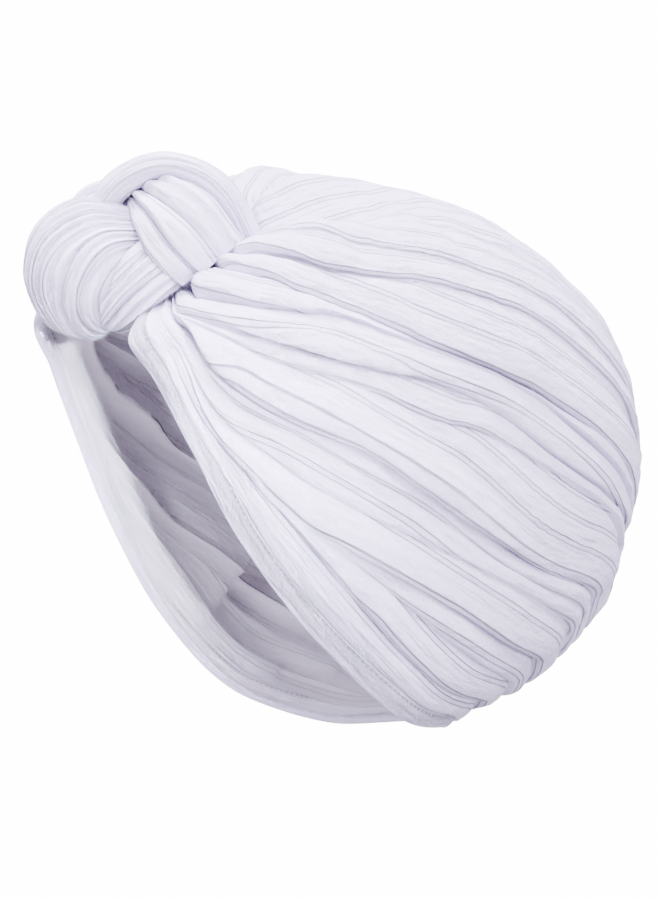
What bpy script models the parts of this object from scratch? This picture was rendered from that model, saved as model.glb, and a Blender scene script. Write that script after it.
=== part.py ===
"""A knotted turban hat of soft ribbed jersey, kept in the shape that it has when it is worn.

Two pleated half crowns meet in a seam down the middle. The pleats fan out from the knot over
the forehead and are gathered again in the seam at the nape. The knot is made of four padded
bands that wind round each other: an arch, a wide fan, a tucked roll and an over-band.

Metres, +Z up. The wearer faces -Y and the wearer's left is +X. The origin is the seat, the
place where the top of the head bears on the inside of the crown.
"""
import bmesh
import bpy
import numpy as np

MM = 0.001

# Driving dimensions
WALL = 2.4 * MM            # gathered jersey, two layers of cloth
HEM_WALL = 3.2 * MM        # the turned edge has one layer more
HEM_REACH = 0.05           # how far up a half crown the turned edge goes, as a share of it
GAP = 0.3 * MM             # clearance between neighbouring bands
CROWN_GAP = 0.6 * MM       # clearance between the knot and the crown
SEAM_GAP = 0.15 * MM       # each half crown stops this far from the middle plane
CROWN_STEPS = 15           # faces of a half crown from the knot to the nape
END_CROWDING = 0.10        # moves its rows towards both ends, where it turns most
LOBE_STEPS = 4             # faces across one pleat
LOBE_POWER = 0.7           # under 1 makes a pleat round on top and sharp in its valleys
NORMAL_STEP = 0.002        # how far apart the points are that give the outward direction
NARROWEST = 0.01           # the least that a section's half width exceeds its hem's, in millimetres
CROWN_GUIDE_ROWS = 7       # rows of the crown that the knot's seat is cut from
CROWN_GUIDE_HEART = np.array((0, -20, -60)) * MM   # a point well inside the crown

# Cross-sections of a half crown, from the knot to the nape. Each one rises from the hem to the
# middle line. Lengths are in millimetres; "square" under 1 makes a fuller shoulder and "bow"
# pushes the middle of a section out towards the nape.
SECTION_COLUMNS = ("along", "hem_x", "hem_y", "hem_z", "top_y", "top_z", "half_width", "square", "bow")
SECTIONS = (
    (0.00, 0.5, -90, -48, -46, -30, 0.6, 1.00, 0),
    (0.05, 17, -99, -56, -42, -18, 20, 0.95, 0),
    (0.10, 34, -112, -68, -37, -4, 46, 0.88, 0),
    (0.15, 42, -106, -81, -26, 5, 61, 0.84, 0),
    (0.26, 53, -95, -108, 8, 5, 79, 0.84, 0),
    (0.42, 62, -77, -146, 53, -6, 95, 0.86, 0),
    (0.58, 70, -49, -184, 94, -27, 101, 0.88, 2),
    (0.74, 72, -9, -219, 126, -62, 96, 0.90, 8),
    (0.88, 52, 23, -226, 135, -100, 72, 0.94, 14),
    (0.96, 26, 36, -228, 133, -124, 43, 0.97, 17),
    (1.00, 0.5, 42, -227, 129, -136, 0.6, 1.00, 18),
)

# Valleys between the pleats, in order from the hem to the middle line. A place is a share of
# the section; a puff is the height in millimetres of the pleat just above that valley.
FOLD_STATIONS = np.array((0.10, 0.45, 0.90))   # front, middle and back, as shares of the length
PUFF_START = 0.09          # the pleats are flat at the knot and full from here on
PUFF_LEVEL = 0.6           # the plain crown passes at this share of a pleat's height
PLACE_COLUMNS = ("front", "middle", "back")
PUFF_COLUMNS = ("puff_front", "puff_middle", "puff_back")
FOLD_COLUMNS = PLACE_COLUMNS + PUFF_COLUMNS
FOLDS = (
    (0.000, 0.000, 0.000, 0.5, 0.6, 0.5),
    (0.022, 0.042, 0.022, 1.0, 1.0, 2.5),
    (0.045, 0.068, 0.095, 1.4, 2.4, 3.5),
    (0.075, 0.106, 0.150, 1.6, 2.6, 4.0),
    (0.110, 0.150, 0.205, 2.0, 3.2, 3.5),
    (0.150, 0.198, 0.250, 3.0, 3.0, 3.0),
    (0.195, 0.245, 0.300, 3.0, 2.0, 4.0),
    (0.240, 0.285, 0.350, 3.0, 2.4, 3.0),
    (0.290, 0.330, 0.410, 3.5, 2.4, 4.0),
    (0.350, 0.385, 0.470, 3.5, 2.4, 3.5),
    (0.420, 0.445, 0.530, 3.0, 2.0, 3.5),
    (0.500, 0.510, 0.590, 3.0, 2.0, 3.0),
    (0.600, 0.600, 0.670, 3.0, 1.8, 3.0),
    (0.720, 0.710, 0.760, 2.5, 1.8, 3.0),
)

# The pleats climb away from the hem as they run back.
RISE = 0.22
RISE_START = 0.10
RISE_LENGTH = 0.30
RISE_HEM = 0.40            # the rise comes in between the hem and this share of the section

# Pushes that set the two halves apart. Each is centred on a place along and across a half and
# moves it by x, y and z in millimetres; a positive x is away from the middle plane.
PUSH_FADE = 0.15           # the pushes fade out towards the middle line, where the halves meet
PUSH_COLUMNS = ("along", "along_reach", "across", "across_reach", "x", "y", "z")
PUSHES = {
    "left": (
        (0.14, 0.13, 0.80, 0.17, 0, 0, -24),
    ),
    "right": (
        (0.15, 0.14, 0.75, 0.25, 0, 0, 8.5),
        (0.12, 0.10, 0.00, 0.40, 0, -6, 5),
        (0.06, 0.05, 0.10, 0.50, 0, -10, 9),
        (0.45, 0.20, 0.00, 0.40, -9, 0, 0),
        (0.89, 0.10, 0.00, 0.40, 0, 0, -7),
    ),
}

# The knot stands on the front of the crown, its face turned to the wearer's left. Its axes
# are right, up and toward someone who looks straight at that face.
KNOT_CENTRE = np.array((6, -98, -27)) * MM
KNOT_TURN = np.radians(60)
# Cross-sections of the bands in millimetres, each from its inner edge to its outer edge.
BAND_COLUMNS = ("inner_right", "inner_up", "inner_toward",
                "outer_right", "outer_up", "outer_toward", "half_thick")
ARCH = (
    (44, -8, -20, 53, -5, -20, 7),
    (43, 2, -14, 53, 5, -14, 8),
    (38, 12, -8, 48, 17, -8, 9),
    (30, 20, -2, 39, 29, -2, 10),
    (21, 25, 1, 26, 36, 1, 11),
    (11, 26, 3, 12, 38, 3, 11),
    (3, 22, 4, -3, 32, 4, 11),
    (-3, 17, 1, -12, 24, 1, 11),
    (-5, 11, -6, -15, 14, -6, 9),
)
FAN = (
    (9, -2, -6, 4, 7, -6, 5),
    (4, -4, 6, -4, 14, 4, 8),
    (-1, -9, 11, -20, 18, 2, 12),
    (-5, -16, 12, -36, 8, -3, 16),
    (-8, -22, 9, -40, -8, -8, 16),
    (-10, -26, 3, -34, -22, -12, 13),
    (-9, -29, -6, -23, -28, -18, 9),
    (-6, -28, -14, -14, -28, -21, 6),
)
ROLL = (
    (-14, -24, -4, -5, -33, -8, 6),
    (-12, -17, 3, 3, -33, 0, 9),
    (-6, -9, 8, 11, -30, 6, 10),
    (3, -1, 11, 19, -22, 8, 10),
    (12, 5, 7, 24, -14, 4, 9),
    (18, 9, -3, 28, -6, -6, 7),
)
OVER_BAND = (
    (0, 17, -12, 6, 25, -12, 5),
    (2, 13, 3, 12, 26, 0, 6),
    (5, 4, 13, 22, 25, 9, 8),
    (9, -5, 17, 33, 19, 12, 9),
    (17, -13, 15, 42, 8, 9, 9),
    (26, -18, 6, 50, -2, 0, 9),
    (33, -23, -8, 54, -9, -12, 8),
)
BAND_STEPS = 11            # faces along a band
BAND_LOBES = {"knot_arch": 6, "knot_fan": 10, "knot_roll": 6, "knot_over_band": 8}
BAND_LOBE_STEPS = 3        # faces across one pleat of a band
BAND_SQUARE = 0.85         # under 1 makes a band's section fuller
BAND_PUFF = 0.16           # how far a band's pleats stand out, as a share of its half width

WHITE = (0.80, 0.79, 0.86, 1.0)
KNOT_WHITE = (0.84, 0.83, 0.90, 1.0)
ROUGHNESS = 0.85


def clear_scene():
    for old in list(bpy.data.objects):
        bpy.data.objects.remove(old, do_unlink=True)


def ease(t):
    """Rise smoothly from 0 at t = 0 to 1 at t = 1."""
    t = np.clip(t, 0, 1)
    return t * t * (3 - 2 * t)


def along(where, stations, values):
    """Run a smooth curve through the values at the stations."""
    step = np.diff(stations)
    slope = np.diff(values) / step
    tilt = np.empty(len(values))
    tilt[1:-1] = (slope[:-1] * step[1:] + slope[1:] * step[:-1]) / (step[1:] + step[:-1])
    tilt[0], tilt[-1] = slope[0], slope[-1]
    where = np.clip(where, stations[0], stations[-1])
    row = np.clip(np.searchsorted(stations, where, side="right") - 1, 0, len(step) - 1)
    t = (where - stations[row]) / step[row]
    near = (2 * t**3 - 3 * t**2 + 1) * values[row] + (t**3 - 2 * t**2 + t) * tilt[row] * step[row]
    far = (3 * t**2 - 2 * t**3) * values[row + 1] + (t**3 - t**2) * tilt[row + 1] * step[row]
    return near + far


def column(table, columns, name):
    return np.array([row[columns.index(name)] for row in table], float)


def section_value(name, u):
    stations = column(SECTIONS, SECTION_COLUMNS, "along")
    return along(u, stations, column(SECTIONS, SECTION_COLUMNS, name))


def plain_crown(u, v, side):
    """The half crown without its pleats: u runs knot to nape, v hem to middle line."""
    hem_x, hem_y, hem_z, top_y, top_z, half_width, square, bow = (
        section_value(name, u) for name in SECTION_COLUMNS[1:])
    half_width = np.maximum(half_width, hem_x + NARROWEST)
    low = -np.arccos((hem_x / half_width) ** (1 / square))
    angle = low + (np.pi / 2 - low) * v
    x = half_width * np.maximum(np.cos(angle), 0) ** square
    foot = -np.abs(np.sin(low)) ** square
    height = (np.sign(np.sin(angle)) * np.abs(np.sin(angle)) ** square - foot) / (1 - foot)
    chord_y, chord_z = top_y - hem_y, top_z - hem_z
    chord = np.hypot(chord_y, chord_z)
    out = bow * np.sin(np.pi * height) / chord
    y = hem_y + chord_y * height + out * chord_z
    z = hem_z + chord_z * height - out * chord_y
    point = np.stack((x, y, z), -1) * MM
    for row in PUSHES[side]:
        push = dict(zip(PUSH_COLUMNS, row))
        away = (u - push["along"]) / push["along_reach"]
        aside = (v - push["across"]) / push["across_reach"]
        share = np.exp(-away**2 - aside**2) * ease((1 - v) / PUSH_FADE)
        point += share[..., None] * np.array((push["x"], push["y"], push["z"])) * MM
    return point


def crown_normal(u, v, side):
    """The outward direction on the plain half crown."""
    before, after = np.maximum(u - NORMAL_STEP, 0), np.minimum(u + NORMAL_STEP, 1)
    below, above = np.maximum(v - NORMAL_STEP, 0), np.minimum(v + NORMAL_STEP, 1)
    along_u = plain_crown(after, v, side) - plain_crown(before, v, side)
    along_v = plain_crown(u, above, side) - plain_crown(u, below, side)
    normal = np.cross(along_u, along_v)
    return normal / np.linalg.norm(normal, axis=-1, keepdims=True)


def fold_values(names, u):
    """Each fold's values in the named columns, run smoothly from the knot to the nape."""
    table = np.stack([column(FOLDS, FOLD_COLUMNS, name) for name in names], 1)
    return [along(u, FOLD_STATIONS, row) for row in table]


def pleat_lines(u):
    """Return, for lines that follow the pleats, the share v of the section and the pleat height."""
    places = fold_values(PLACE_COLUMNS, u) + [np.ones_like(u)]
    puffs = fold_values(PUFF_COLUMNS, u)
    full = ease(u / PUFF_START)
    share, height = [], []
    for lobe, puff in enumerate(puffs):
        for step in range(LOBE_STEPS):
            part = step / LOBE_STEPS
            share.append(places[lobe] + (places[lobe + 1] - places[lobe]) * part)
            height.append(puff * (np.sin(np.pi * part) ** LOBE_POWER - PUFF_LEVEL) * full * MM)
    share.append(places[-1])
    height.append(np.zeros_like(u))
    share, height = np.stack(share, 1), np.stack(height, 1)
    climb = RISE * (1 - np.exp(-np.maximum(u - RISE_START, 0) / RISE_LENGTH))
    share = share + climb[:, None] * (1 - share) * ease(share / RISE_HEM)
    return share, height


def crown_walls(side, grow=0.0, pleated=True):
    """Outer and inner faces of a half crown, as grids of points, for the wearer's left."""
    u = np.linspace(0, 1, CROWN_STEPS + 1)
    u = u - END_CROWDING * np.sin(2 * np.pi * u)
    v, height = pleat_lines(u)
    if not pleated:
        height = np.repeat(height.max(1, keepdims=True), height.shape[1], 1)
    u = np.repeat(u[:, None], v.shape[1], 1)
    plain = plain_crown(u, v, side)
    normal = crown_normal(u, v, side)
    wall = WALL + (HEM_WALL - WALL) * ease((HEM_REACH - v) / HEM_REACH)
    outer = plain + normal * (height + grow)[..., None]
    inner = plain + normal * (height - wall)[..., None]
    for face in (outer, inner):
        face[..., 0] = np.maximum(face[..., 0], SEAM_GAP)
        face[:, -1, 0] = SEAM_GAP
        face[0, :, 0] = SEAM_GAP
        face[-1, :, 0] = SEAM_GAP
    return outer, inner


def grid_faces(rows, columns, first=0):
    """Faces between the points of a grid that starts at the given index."""
    faces = []
    for i in range(rows - 1):
        for j in range(columns - 1):
            corner = first + i * columns + j
            faces.append((corner, corner + 1, corner + columns + 1))
            faces.append((corner, corner + columns + 1, corner + columns))
    return faces


def add_object(name, points, faces, colour):
    mesh = bpy.data.meshes.new(name)
    mesh.from_pydata([tuple(p) for p in points], [], faces)
    shape = bmesh.new()
    shape.from_mesh(mesh)
    bmesh.ops.triangulate(shape, faces=shape.faces)
    bmesh.ops.recalc_face_normals(shape, faces=shape.faces)
    shape.to_mesh(mesh)
    shape.free()
    mesh.shade_smooth()
    body = bpy.data.objects.new(name, mesh)
    bpy.context.scene.collection.objects.link(body)
    if colour is not None:
        body.data.materials.append(cloth(name + "_cloth", colour))
    return body


def cloth(name, colour):
    material = bpy.data.materials.new(name)
    material.use_nodes = True
    shader = material.node_tree.nodes["Principled BSDF"]
    shader.inputs["Base Color"].default_value = colour
    shader.inputs["Roughness"].default_value = ROUGHNESS
    shader.inputs["Metallic"].default_value = 0.0
    return material


def half_crown(side):
    outer, inner = crown_walls(side)
    rows, columns = outer.shape[:2]
    count = rows * columns
    faces = grid_faces(rows, columns) + [face[::-1] for face in grid_faces(rows, columns, count)]
    edge = list(range(columns))
    edge += [i * columns + columns - 1 for i in range(1, rows)]
    edge += [(rows - 1) * columns + j for j in range(columns - 2, -1, -1)]
    edge += [i * columns for i in range(rows - 2, 0, -1)]
    for here, after in zip(edge, edge[1:] + edge[:1]):
        faces.append((here, after, after + count, here + count))
    points = np.concatenate((outer.reshape(-1, 3), inner.reshape(-1, 3)))
    if side == "right":
        points = points * (-1, 1, 1)
    return add_object("crown_" + side, points, faces, WHITE)


def knot_axes():
    """Right, up and toward for someone who looks straight at the knot's face."""
    right = np.array((np.cos(KNOT_TURN), np.sin(KNOT_TURN), 0))
    up = np.array((0, 0, 1))
    return np.stack((right, up, np.cross(right, up)))


def fuller(wave):
    """Push a sine or cosine towards its ends, which squares off the ellipse it draws."""
    return np.sign(wave) * np.abs(wave) ** BAND_SQUARE


def band_shape(rows, lobes, grow=0.0):
    """Points and faces of a padded band that is lofted through its rows, with closed ends."""
    table = {name: column(rows, BAND_COLUMNS, name) * MM for name in BAND_COLUMNS}
    inner = np.stack((table["inner_right"], table["inner_up"], table["inner_toward"]), 1)
    outer = np.stack((table["outer_right"], table["outer_up"], table["outer_toward"]), 1)
    middle = (inner + outer) / 2
    reach = np.concatenate(((0,), np.cumsum(np.linalg.norm(np.diff(middle, axis=0), axis=1))))
    where = np.linspace(0, reach[-1], BAND_STEPS + 1)
    inner, outer = (np.stack([along(where, reach, edge[:, k]) for k in range(3)], 1) for edge in (inner, outer))
    half_thick = along(where, reach, table["half_thick"])
    centre = (inner + outer) / 2
    tangent = np.gradient(centre, axis=0)
    tangent /= np.linalg.norm(tangent, axis=1, keepdims=True)
    centre[0] -= tangent[0] * grow
    centre[-1] += tangent[-1] * grow
    across = (outer - inner) / 2
    half_width = np.linalg.norm(across, axis=1)
    across /= half_width[:, None]
    out = np.cross(across, tangent)
    out /= np.linalg.norm(out, axis=1, keepdims=True)
    sides = lobes * BAND_LOBE_STEPS
    turn = np.arange(sides) * 2 * np.pi / sides
    puff = 1 + BAND_PUFF * (np.abs(np.sin(turn * lobes / 2)) ** LOBE_POWER - PUFF_LEVEL)
    wide = (half_width[:, None] * puff + grow) * fuller(np.cos(turn))
    thick = (half_thick[:, None] * puff + grow) * fuller(np.sin(turn))
    points = centre[:, None] + across[:, None] * wide[..., None] + out[:, None] * thick[..., None]
    points = points.reshape(-1, 3) @ knot_axes() + KNOT_CENTRE
    faces = []
    for i in range(BAND_STEPS):
        for j in range(sides):
            after = (j + 1) % sides
            above = (i + 1) * sides
            faces.append((i * sides + j, i * sides + after, above + after, above + j))
    ends = centre[[0, -1]] @ knot_axes() + KNOT_CENTRE
    points = np.concatenate((points, ends))
    for j in range(sides):
        after = (j + 1) % sides
        faces.append((len(points) - 2, after, j))
        faces.append((len(points) - 1, BAND_STEPS * sides + j, BAND_STEPS * sides + after))
    return points, faces


def guide(name, points, faces):
    """A shape that only cuts its neighbours."""
    body = add_object(name, points, faces, None)
    body.hide_render = True
    body.display_type = "WIRE"
    return body


def guide_side(side):
    """The outer face of a half crown's front, grown by the gap and carried round its hem."""
    outer, inner = (face[:CROWN_GUIDE_ROWS] for face in crown_walls(side, CROWN_GAP, pleated=False))
    down = outer[:, 0] - outer[:, 1]
    down /= np.linalg.norm(down, axis=1, keepdims=True)
    inward = inner[:, 0] - outer[:, 0]
    inward /= np.linalg.norm(inward, axis=1, keepdims=True)
    outer[:, 0] += down * CROWN_GAP
    turned = inner[:, 0] + (down + inward) * CROWN_GAP
    face = np.concatenate((turned[:, None], outer), 1)
    face[..., 0] = np.maximum(face[..., 0], SEAM_GAP)
    return face


def crown_guide():
    """The front of the crown as a closed body, grown by the gap, that cuts its seat into the knot."""
    left = guide_side("left")
    right = guide_side("right") * (-1, 1, 1)
    rows, columns = left.shape[:2]
    count = rows * columns
    points = np.concatenate((left.reshape(-1, 3), right.reshape(-1, 3), (CROWN_GUIDE_HEART,)))
    faces = grid_faces(rows, columns) + [face[::-1] for face in grid_faces(rows, columns, count)]
    for i in range(rows - 1):
        here, after = i * columns + columns - 1, (i + 1) * columns + columns - 1
        faces.append((here, here + count, after + count, after))
    for j in range(columns - 1):
        faces.append((j, j + count, j + 1 + count, j + 1))
    heart = len(points) - 1
    rim = [i * columns for i in range(rows)] + [(rows - 1) * columns + j for j in range(1, columns)]
    rim += [point + count for point in rim[::-1]]
    for here, after in zip(rim, rim[1:] + rim[:1]):
        faces.append((here, heart, after))
    return guide("crown_guide", points, faces)


def cut(body, guides):
    for shape in guides:
        boolean = body.modifiers.new("cut_by_" + shape.name, "BOOLEAN")
        boolean.operation = "DIFFERENCE"
        boolean.solver = "EXACT"
        boolean.object = shape


def knot():
    """The four bands; each is cut back by the crown and by the bands that lie over it."""
    bands = {"knot_arch": ARCH, "knot_over_band": OVER_BAND, "knot_fan": FAN, "knot_roll": ROLL}
    over = [crown_guide()]
    for name, rows in bands.items():
        points, faces = band_shape(rows, BAND_LOBES[name])
        body = add_object(name, points, faces, KNOT_WHITE)
        cut(body, over)
        points, faces = band_shape(rows, BAND_LOBES[name], GAP)
        over.append(guide(name + "_guide", points, faces))


clear_scene()
half_crown("left")
half_crown("right")
knot()
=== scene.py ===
"""A knotted turban hat of white ribbed jersey, held up in the shape that a head gives it.

The wearer faces -Y and the wearer's left is +X. The origin is the place inside the crown
where the top of the head bears. Lengths in the tables are millimetres.
"""

import bmesh
import bpy
import numpy as np
from mathutils import Matrix


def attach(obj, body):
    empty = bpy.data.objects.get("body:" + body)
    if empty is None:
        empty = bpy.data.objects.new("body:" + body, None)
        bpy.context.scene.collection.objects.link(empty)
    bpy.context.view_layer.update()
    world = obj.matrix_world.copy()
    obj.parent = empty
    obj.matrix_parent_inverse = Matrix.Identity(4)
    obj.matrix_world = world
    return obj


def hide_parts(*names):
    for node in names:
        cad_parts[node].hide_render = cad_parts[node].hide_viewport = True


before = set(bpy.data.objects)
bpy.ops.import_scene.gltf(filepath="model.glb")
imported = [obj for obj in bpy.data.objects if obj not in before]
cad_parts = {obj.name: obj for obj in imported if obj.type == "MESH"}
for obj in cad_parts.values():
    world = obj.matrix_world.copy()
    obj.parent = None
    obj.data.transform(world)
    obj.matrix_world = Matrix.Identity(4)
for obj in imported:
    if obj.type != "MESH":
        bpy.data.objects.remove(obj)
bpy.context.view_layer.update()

# THE TWO HALF CROWNS
# Each half is one width of ribbed jersey, pleated under the knot, fanned out over the head and
# gathered again in the seam at the nape. Its edge round the face is turned in and stitched.
MM = 0.001
WALL = 2.0 * MM            # the jersey, doubled
HEM_WALL = 3.2 * MM
HEM_DEPTH = 9.0 * MM
HEM_RAISED = 0.6 * MM      # how far the turned hem stands proud
SEAM = 0.0                 # the halves meet in their seam on the middle plane
ROWS = 190                 # points of a half crown from the knot to the nape
END_CROWDING = 0.10        # crowds them towards both ends
PART_CROWDING = 0.06       # crowds the points of a pleat towards its folds
NORMAL_STEP = 0.002        # how far to either side of a point its slope is measured
NARROWEST = 0.01           # the least that a section is wider than its hem point, in millimetres
STRIPE = 11 * MM           # from one rib of the jersey to the next
FIRST_STRIPE = 40          # the count of stripes at a pleat's first rib
HEM_STRIPES = 20           # the hem counts its stripes from this many lower
RIB_CLEAR = (-0.22, 0.25)  # where a rib slides to, by the edge it follows, as its pleat narrows
NARROW_PLEAT = 4.0 * MM    # a pleat of this width has its ribs there,
NARROWING = 9.0 * MM       # and one that is wider by this has them in place

# Sections of a half crown from the knot to the nape: how far along it lies, its point on the
# hem, its point on the middle line, its greatest half width, the power that squares it off,
# and how far it bows out.
SECTION_COLUMNS = ("along", "hem_x", "hem_y", "hem_z", "top_y", "top_z", "half_width", "square", "bow")
SECTIONS = (
    (0.00, 0.5, -90, -48, -46, -30, 0.6, 1.00, 0),
    (0.05, 17, -99, -56, -42, -18, 20, 0.95, 0),
    (0.10, 34, -112, -68, -37, -4, 46, 0.88, 0),
    (0.15, 42, -106, -81, -26, 5, 61, 0.84, 0),
    (0.26, 53, -95, -108, 8, 5, 79, 0.84, 0),
    (0.42, 62, -77, -146, 53, -6, 95, 0.86, 0),
    (0.58, 70, -49, -184, 94, -27, 101, 0.88, 2),
    (0.74, 72, -9, -219, 126, -62, 96, 0.90, 8),
    (0.88, 52, 23, -226, 135, -100, 72, 0.94, 14),
    (0.96, 26, 36, -228, 133, -124, 43, 0.97, 17),
    (1.00, 0.5, 42, -227, 129, -136, 0.6, 1.00, 18),
)

# The folds between the pleats in order from the hem to the middle line. Each runs through a
# share of the section at six stations from the knot to the nape, and is so many millimetres
# deep there; soft is how broadly the pleat above it rolls. Points cross the pleat above it,
# whose ribs run along its lower edge, 0, or its upper edge, 1, with the first one so far off.
FOLD_STATIONS = np.array((0.10, 0.22, 0.36, 0.52, 0.68, 0.88))
PLACE_COLUMNS = ("at_10", "at_22", "at_36", "at_52", "at_68", "at_88")
DEPTH_COLUMNS = ("deep_10", "deep_22", "deep_36", "deep_52", "deep_68", "deep_88")
FOLD_COLUMNS = PLACE_COLUMNS + DEPTH_COLUMNS + ("soft", "points", "edge", "first_rib")
FOLDS = (
    (0.000, 0.000, 0.000, 0.000, 0.000, 0.000, 0.0, 0.0, 0.0, 0.0, 0.0, 0.0, 1.0, 14, 0, -0.25),
    (0.075, 0.032, 0.040, 0.048, 0.040, 0.030, 0.5, 0.3, 0.0, 0.0, 0.0, 0.2, 1.0, 14, 0, -0.20),
    (0.105, 0.052, 0.076, 0.084, 0.070, 0.074, 0.3, 0.4, 2.8, 3.2, 1.6, 0.8, 2.0, 8, 0, 0.20),
    (0.115, 0.062, 0.086, 0.102, 0.113, 0.122, 0.3, 0.0, 0.0, 0.6, 1.0, 0.3, 1.2, 9, 1, 0.10),
    (0.125, 0.072, 0.096, 0.122, 0.146, 0.165, 0.6, 1.6, 7.0, 8.4, 4.8, 1.0, 1.3, 14, 0, 0.20),
    (0.135, 0.085, 0.117, 0.156, 0.190, 0.218, 0.3, 0.5, 0.8, 1.0, 1.0, 0.4, 0.8, 14, 1, 0.30),
    (0.155, 0.118, 0.165, 0.193, 0.204, 0.240, 0.3, 1.0, 0.9, 1.2, 0.8, 0.3, 0.8, 10, 0, 0.15),
    (0.174, 0.160, 0.195, 0.215, 0.216, 0.262, 4.0, 7.6, 8.4, 9.2, 5.2, 1.2, 1.4, 20, 0, 0.35),
    (0.181, 0.213, 0.253, 0.271, 0.300, 0.370, 0.3, 1.6, 1.0, 1.0, 1.0, 0.5, 1.0, 14, 0, 0.12),
    (0.188, 0.246, 0.279, 0.303, 0.316, 0.400, 1.5, 3.6, 3.2, 1.7, 2.0, 1.0, 1.6, 16, 1, 0.15),
    (0.262, 0.304, 0.319, 0.341, 0.372, 0.440, 4.0, 2.8, 1.5, 1.3, 1.8, 0.6, 1.8, 13, 0, 0.10),
    (0.368, 0.329, 0.329, 0.355, 0.392, 0.480, 3.5, 1.0, 0.8, 2.8, 1.2, 1.2, 1.8, 24, 0, 0.12),
    (0.430, 0.395, 0.440, 0.490, 0.523, 0.590, 3.0, 2.4, 1.2, 0.8, 0.9, 0.8, 2.0, 20, 0, 0.15),
    (0.530, 0.490, 0.515, 0.555, 0.587, 0.665, 0.5, 0.5, 0.6, 0.6, 0.8, 1.0, 2.0, 22, 0, 0.20),
    (0.670, 0.650, 0.645, 0.660, 0.690, 0.760, 0.3, 0.3, 0.4, 0.4, 0.6, 0.8, 2.0, 22, 0, 0.50),
    (0.830, 0.815, 0.790, 0.790, 0.820, 0.860, 0.5, 0.3, 0.3, 0.3, 0.5, 0.8, 2.0, 20, 0, 0.30),
)
BELLY = (0.22, 0.11, 0.07, 0.07, 0.10, 0.18)    # a pleat's rise at the stations, by its width
BELLY_MOST = 5.0 * MM
BELLY_SKEW = 0.8           # under 1 makes a pleat fuller on its lower side
BELLY_ROUND = 0.8          # under 1 makes it a broader roll
BELLY_SUNK = 0.6           # how far its edges lie under the plain crown, by its rise
CREST_FLAT = 0.8           # how much flatter the pleats run over the crest behind the knot
CREST_FROM = 0.35          # the crest starts at this share of the section
CREST_CALM = 0.35          # and ends this far along
PUFF_START = 0.09          # where the pleats have reached their full height
RISE = 0.22                # how far the folds climb towards the middle line as they run back
RISE_START = 0.10
RISE_LENGTH = 0.30
RISE_HEM = 0.40            # folds under this share of the section climb less
FOLD_LIP = 0.60            # how far a pleat's rolled edge stands proud, by the depth of its fold
FOLD_LEAN = 0.90           # how far it leans over the fold, by the same depth
LEAN_START = 0.12
LEAN_AT = 2.2 * MM
LEAN_REACH = 2.6 * MM
ROLL = 1.1 * MM            # how sharply a pleat rises out of the fold under it
ROLL_REACH = 5.0 * MM
FALLS = ((0.72, 0.9 * MM), (0.28, 6.0 * MM))   # shares and reaches of the fall into a fold

# Folds vary as they run: in depth by their own depth, and in place by shares of the section.
# Cells are those of the noise, along the half and from one fold to the next.
DEPTH_UNEVEN = 0.45
DEPTH_CELLS = 9
DEPTH_SEED = 21
PLACE_UNEVEN = 0.0035
PLACE_CELLS = 7
PLACE_SEED = 22
FOLD_CELLS = 3.7
SWAY_START = 0.1           # folds sway from here, and in full after as much again
FOLDS_APART = 0.002        # the least share of the section between two folds

# No pleat runs quite even: slow swells, and finer creases that run along it. Each is a layer of
# noise: its cells along the half, a cell's width and its height in millimetres, and its seed.
SWELLS = (
    (6, 24, 1.10, 3),
    (9, 9, 0.80, 4),
    (8, 4, 0.45, 5),
    (40, 6, 0.25, 6),
    (63, 2.2, 0.12, 7),
)
SEAM_CALM = 0.06           # shares of the section over which all this dies out
HEM_CALM = 0.05
LATTICE = 64               # the noise repeats after so many cells

# The inside follows the folds less, and has slack folds of its own, away from the hem.
FOLD_INSIDE = 0.3
INNER_LEAST = 0.8 * MM     # how much thicker than its wall the cloth is at least
SLACK = 1.8 * MM
SLACK_START = 20 * MM
SLACK_CELLS = 5
SLACK_WIDTH = 16 * MM
SLACK_TOP = 0.2            # where the noise's crests are cut off
SLACK_SEED = 8

# Slack of the cloth inside, which swells and then drops: where along the half it starts, is
# fullest and ends, its share of the section and reach there, and its depth in millimetres.
BILLOWS = {
    "left": (),
    "right": (
        (0.36, 0.60, 0.655, 0.165, 0.085, 13.0),
        (0.62, 0.80, 0.88, 0.300, 0.060, 4.0),
        (0.66, 0.74, 0.80, 0.070, 0.016, 3.5),
        (0.70, 0.80, 0.88, 0.115, 0.020, 3.0),
    ),
}
BILLOW_DROP = 0.018        # how far along the drop takes

# Bell-shaped shifts of the plain crown: where each is and how far it reaches, along and across,
# and by how much it shifts the cloth. They die out this near to the middle line.
PUSH_FADE = 0.15
PUSH_COLUMNS = ("along", "along_reach", "across", "across_reach", "x", "y", "z")
PUSHES = {
    "left": (
        (0.14, 0.13, 0.80, 0.17, 0, 0, -24),
    ),
    "right": (
        (0.15, 0.14, 0.75, 0.25, 0, 0, 8.5),
        (0.12, 0.10, 0.00, 0.40, 0, -6, 5),
        (0.06, 0.05, 0.10, 0.50, 0, -10, 9),
        (0.45, 0.20, 0.00, 0.40, -9, 0, 0),
        (0.89, 0.10, 0.00, 0.40, 0, 0, -7),
    ),
}


def ease(t):
    """Rise smoothly from 0 at t = 0 to 1 at t = 1: three t squared less two t cubed."""
    t = np.clip(t, 0, 1)
    return t * t * (3 - 2 * t)


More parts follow.
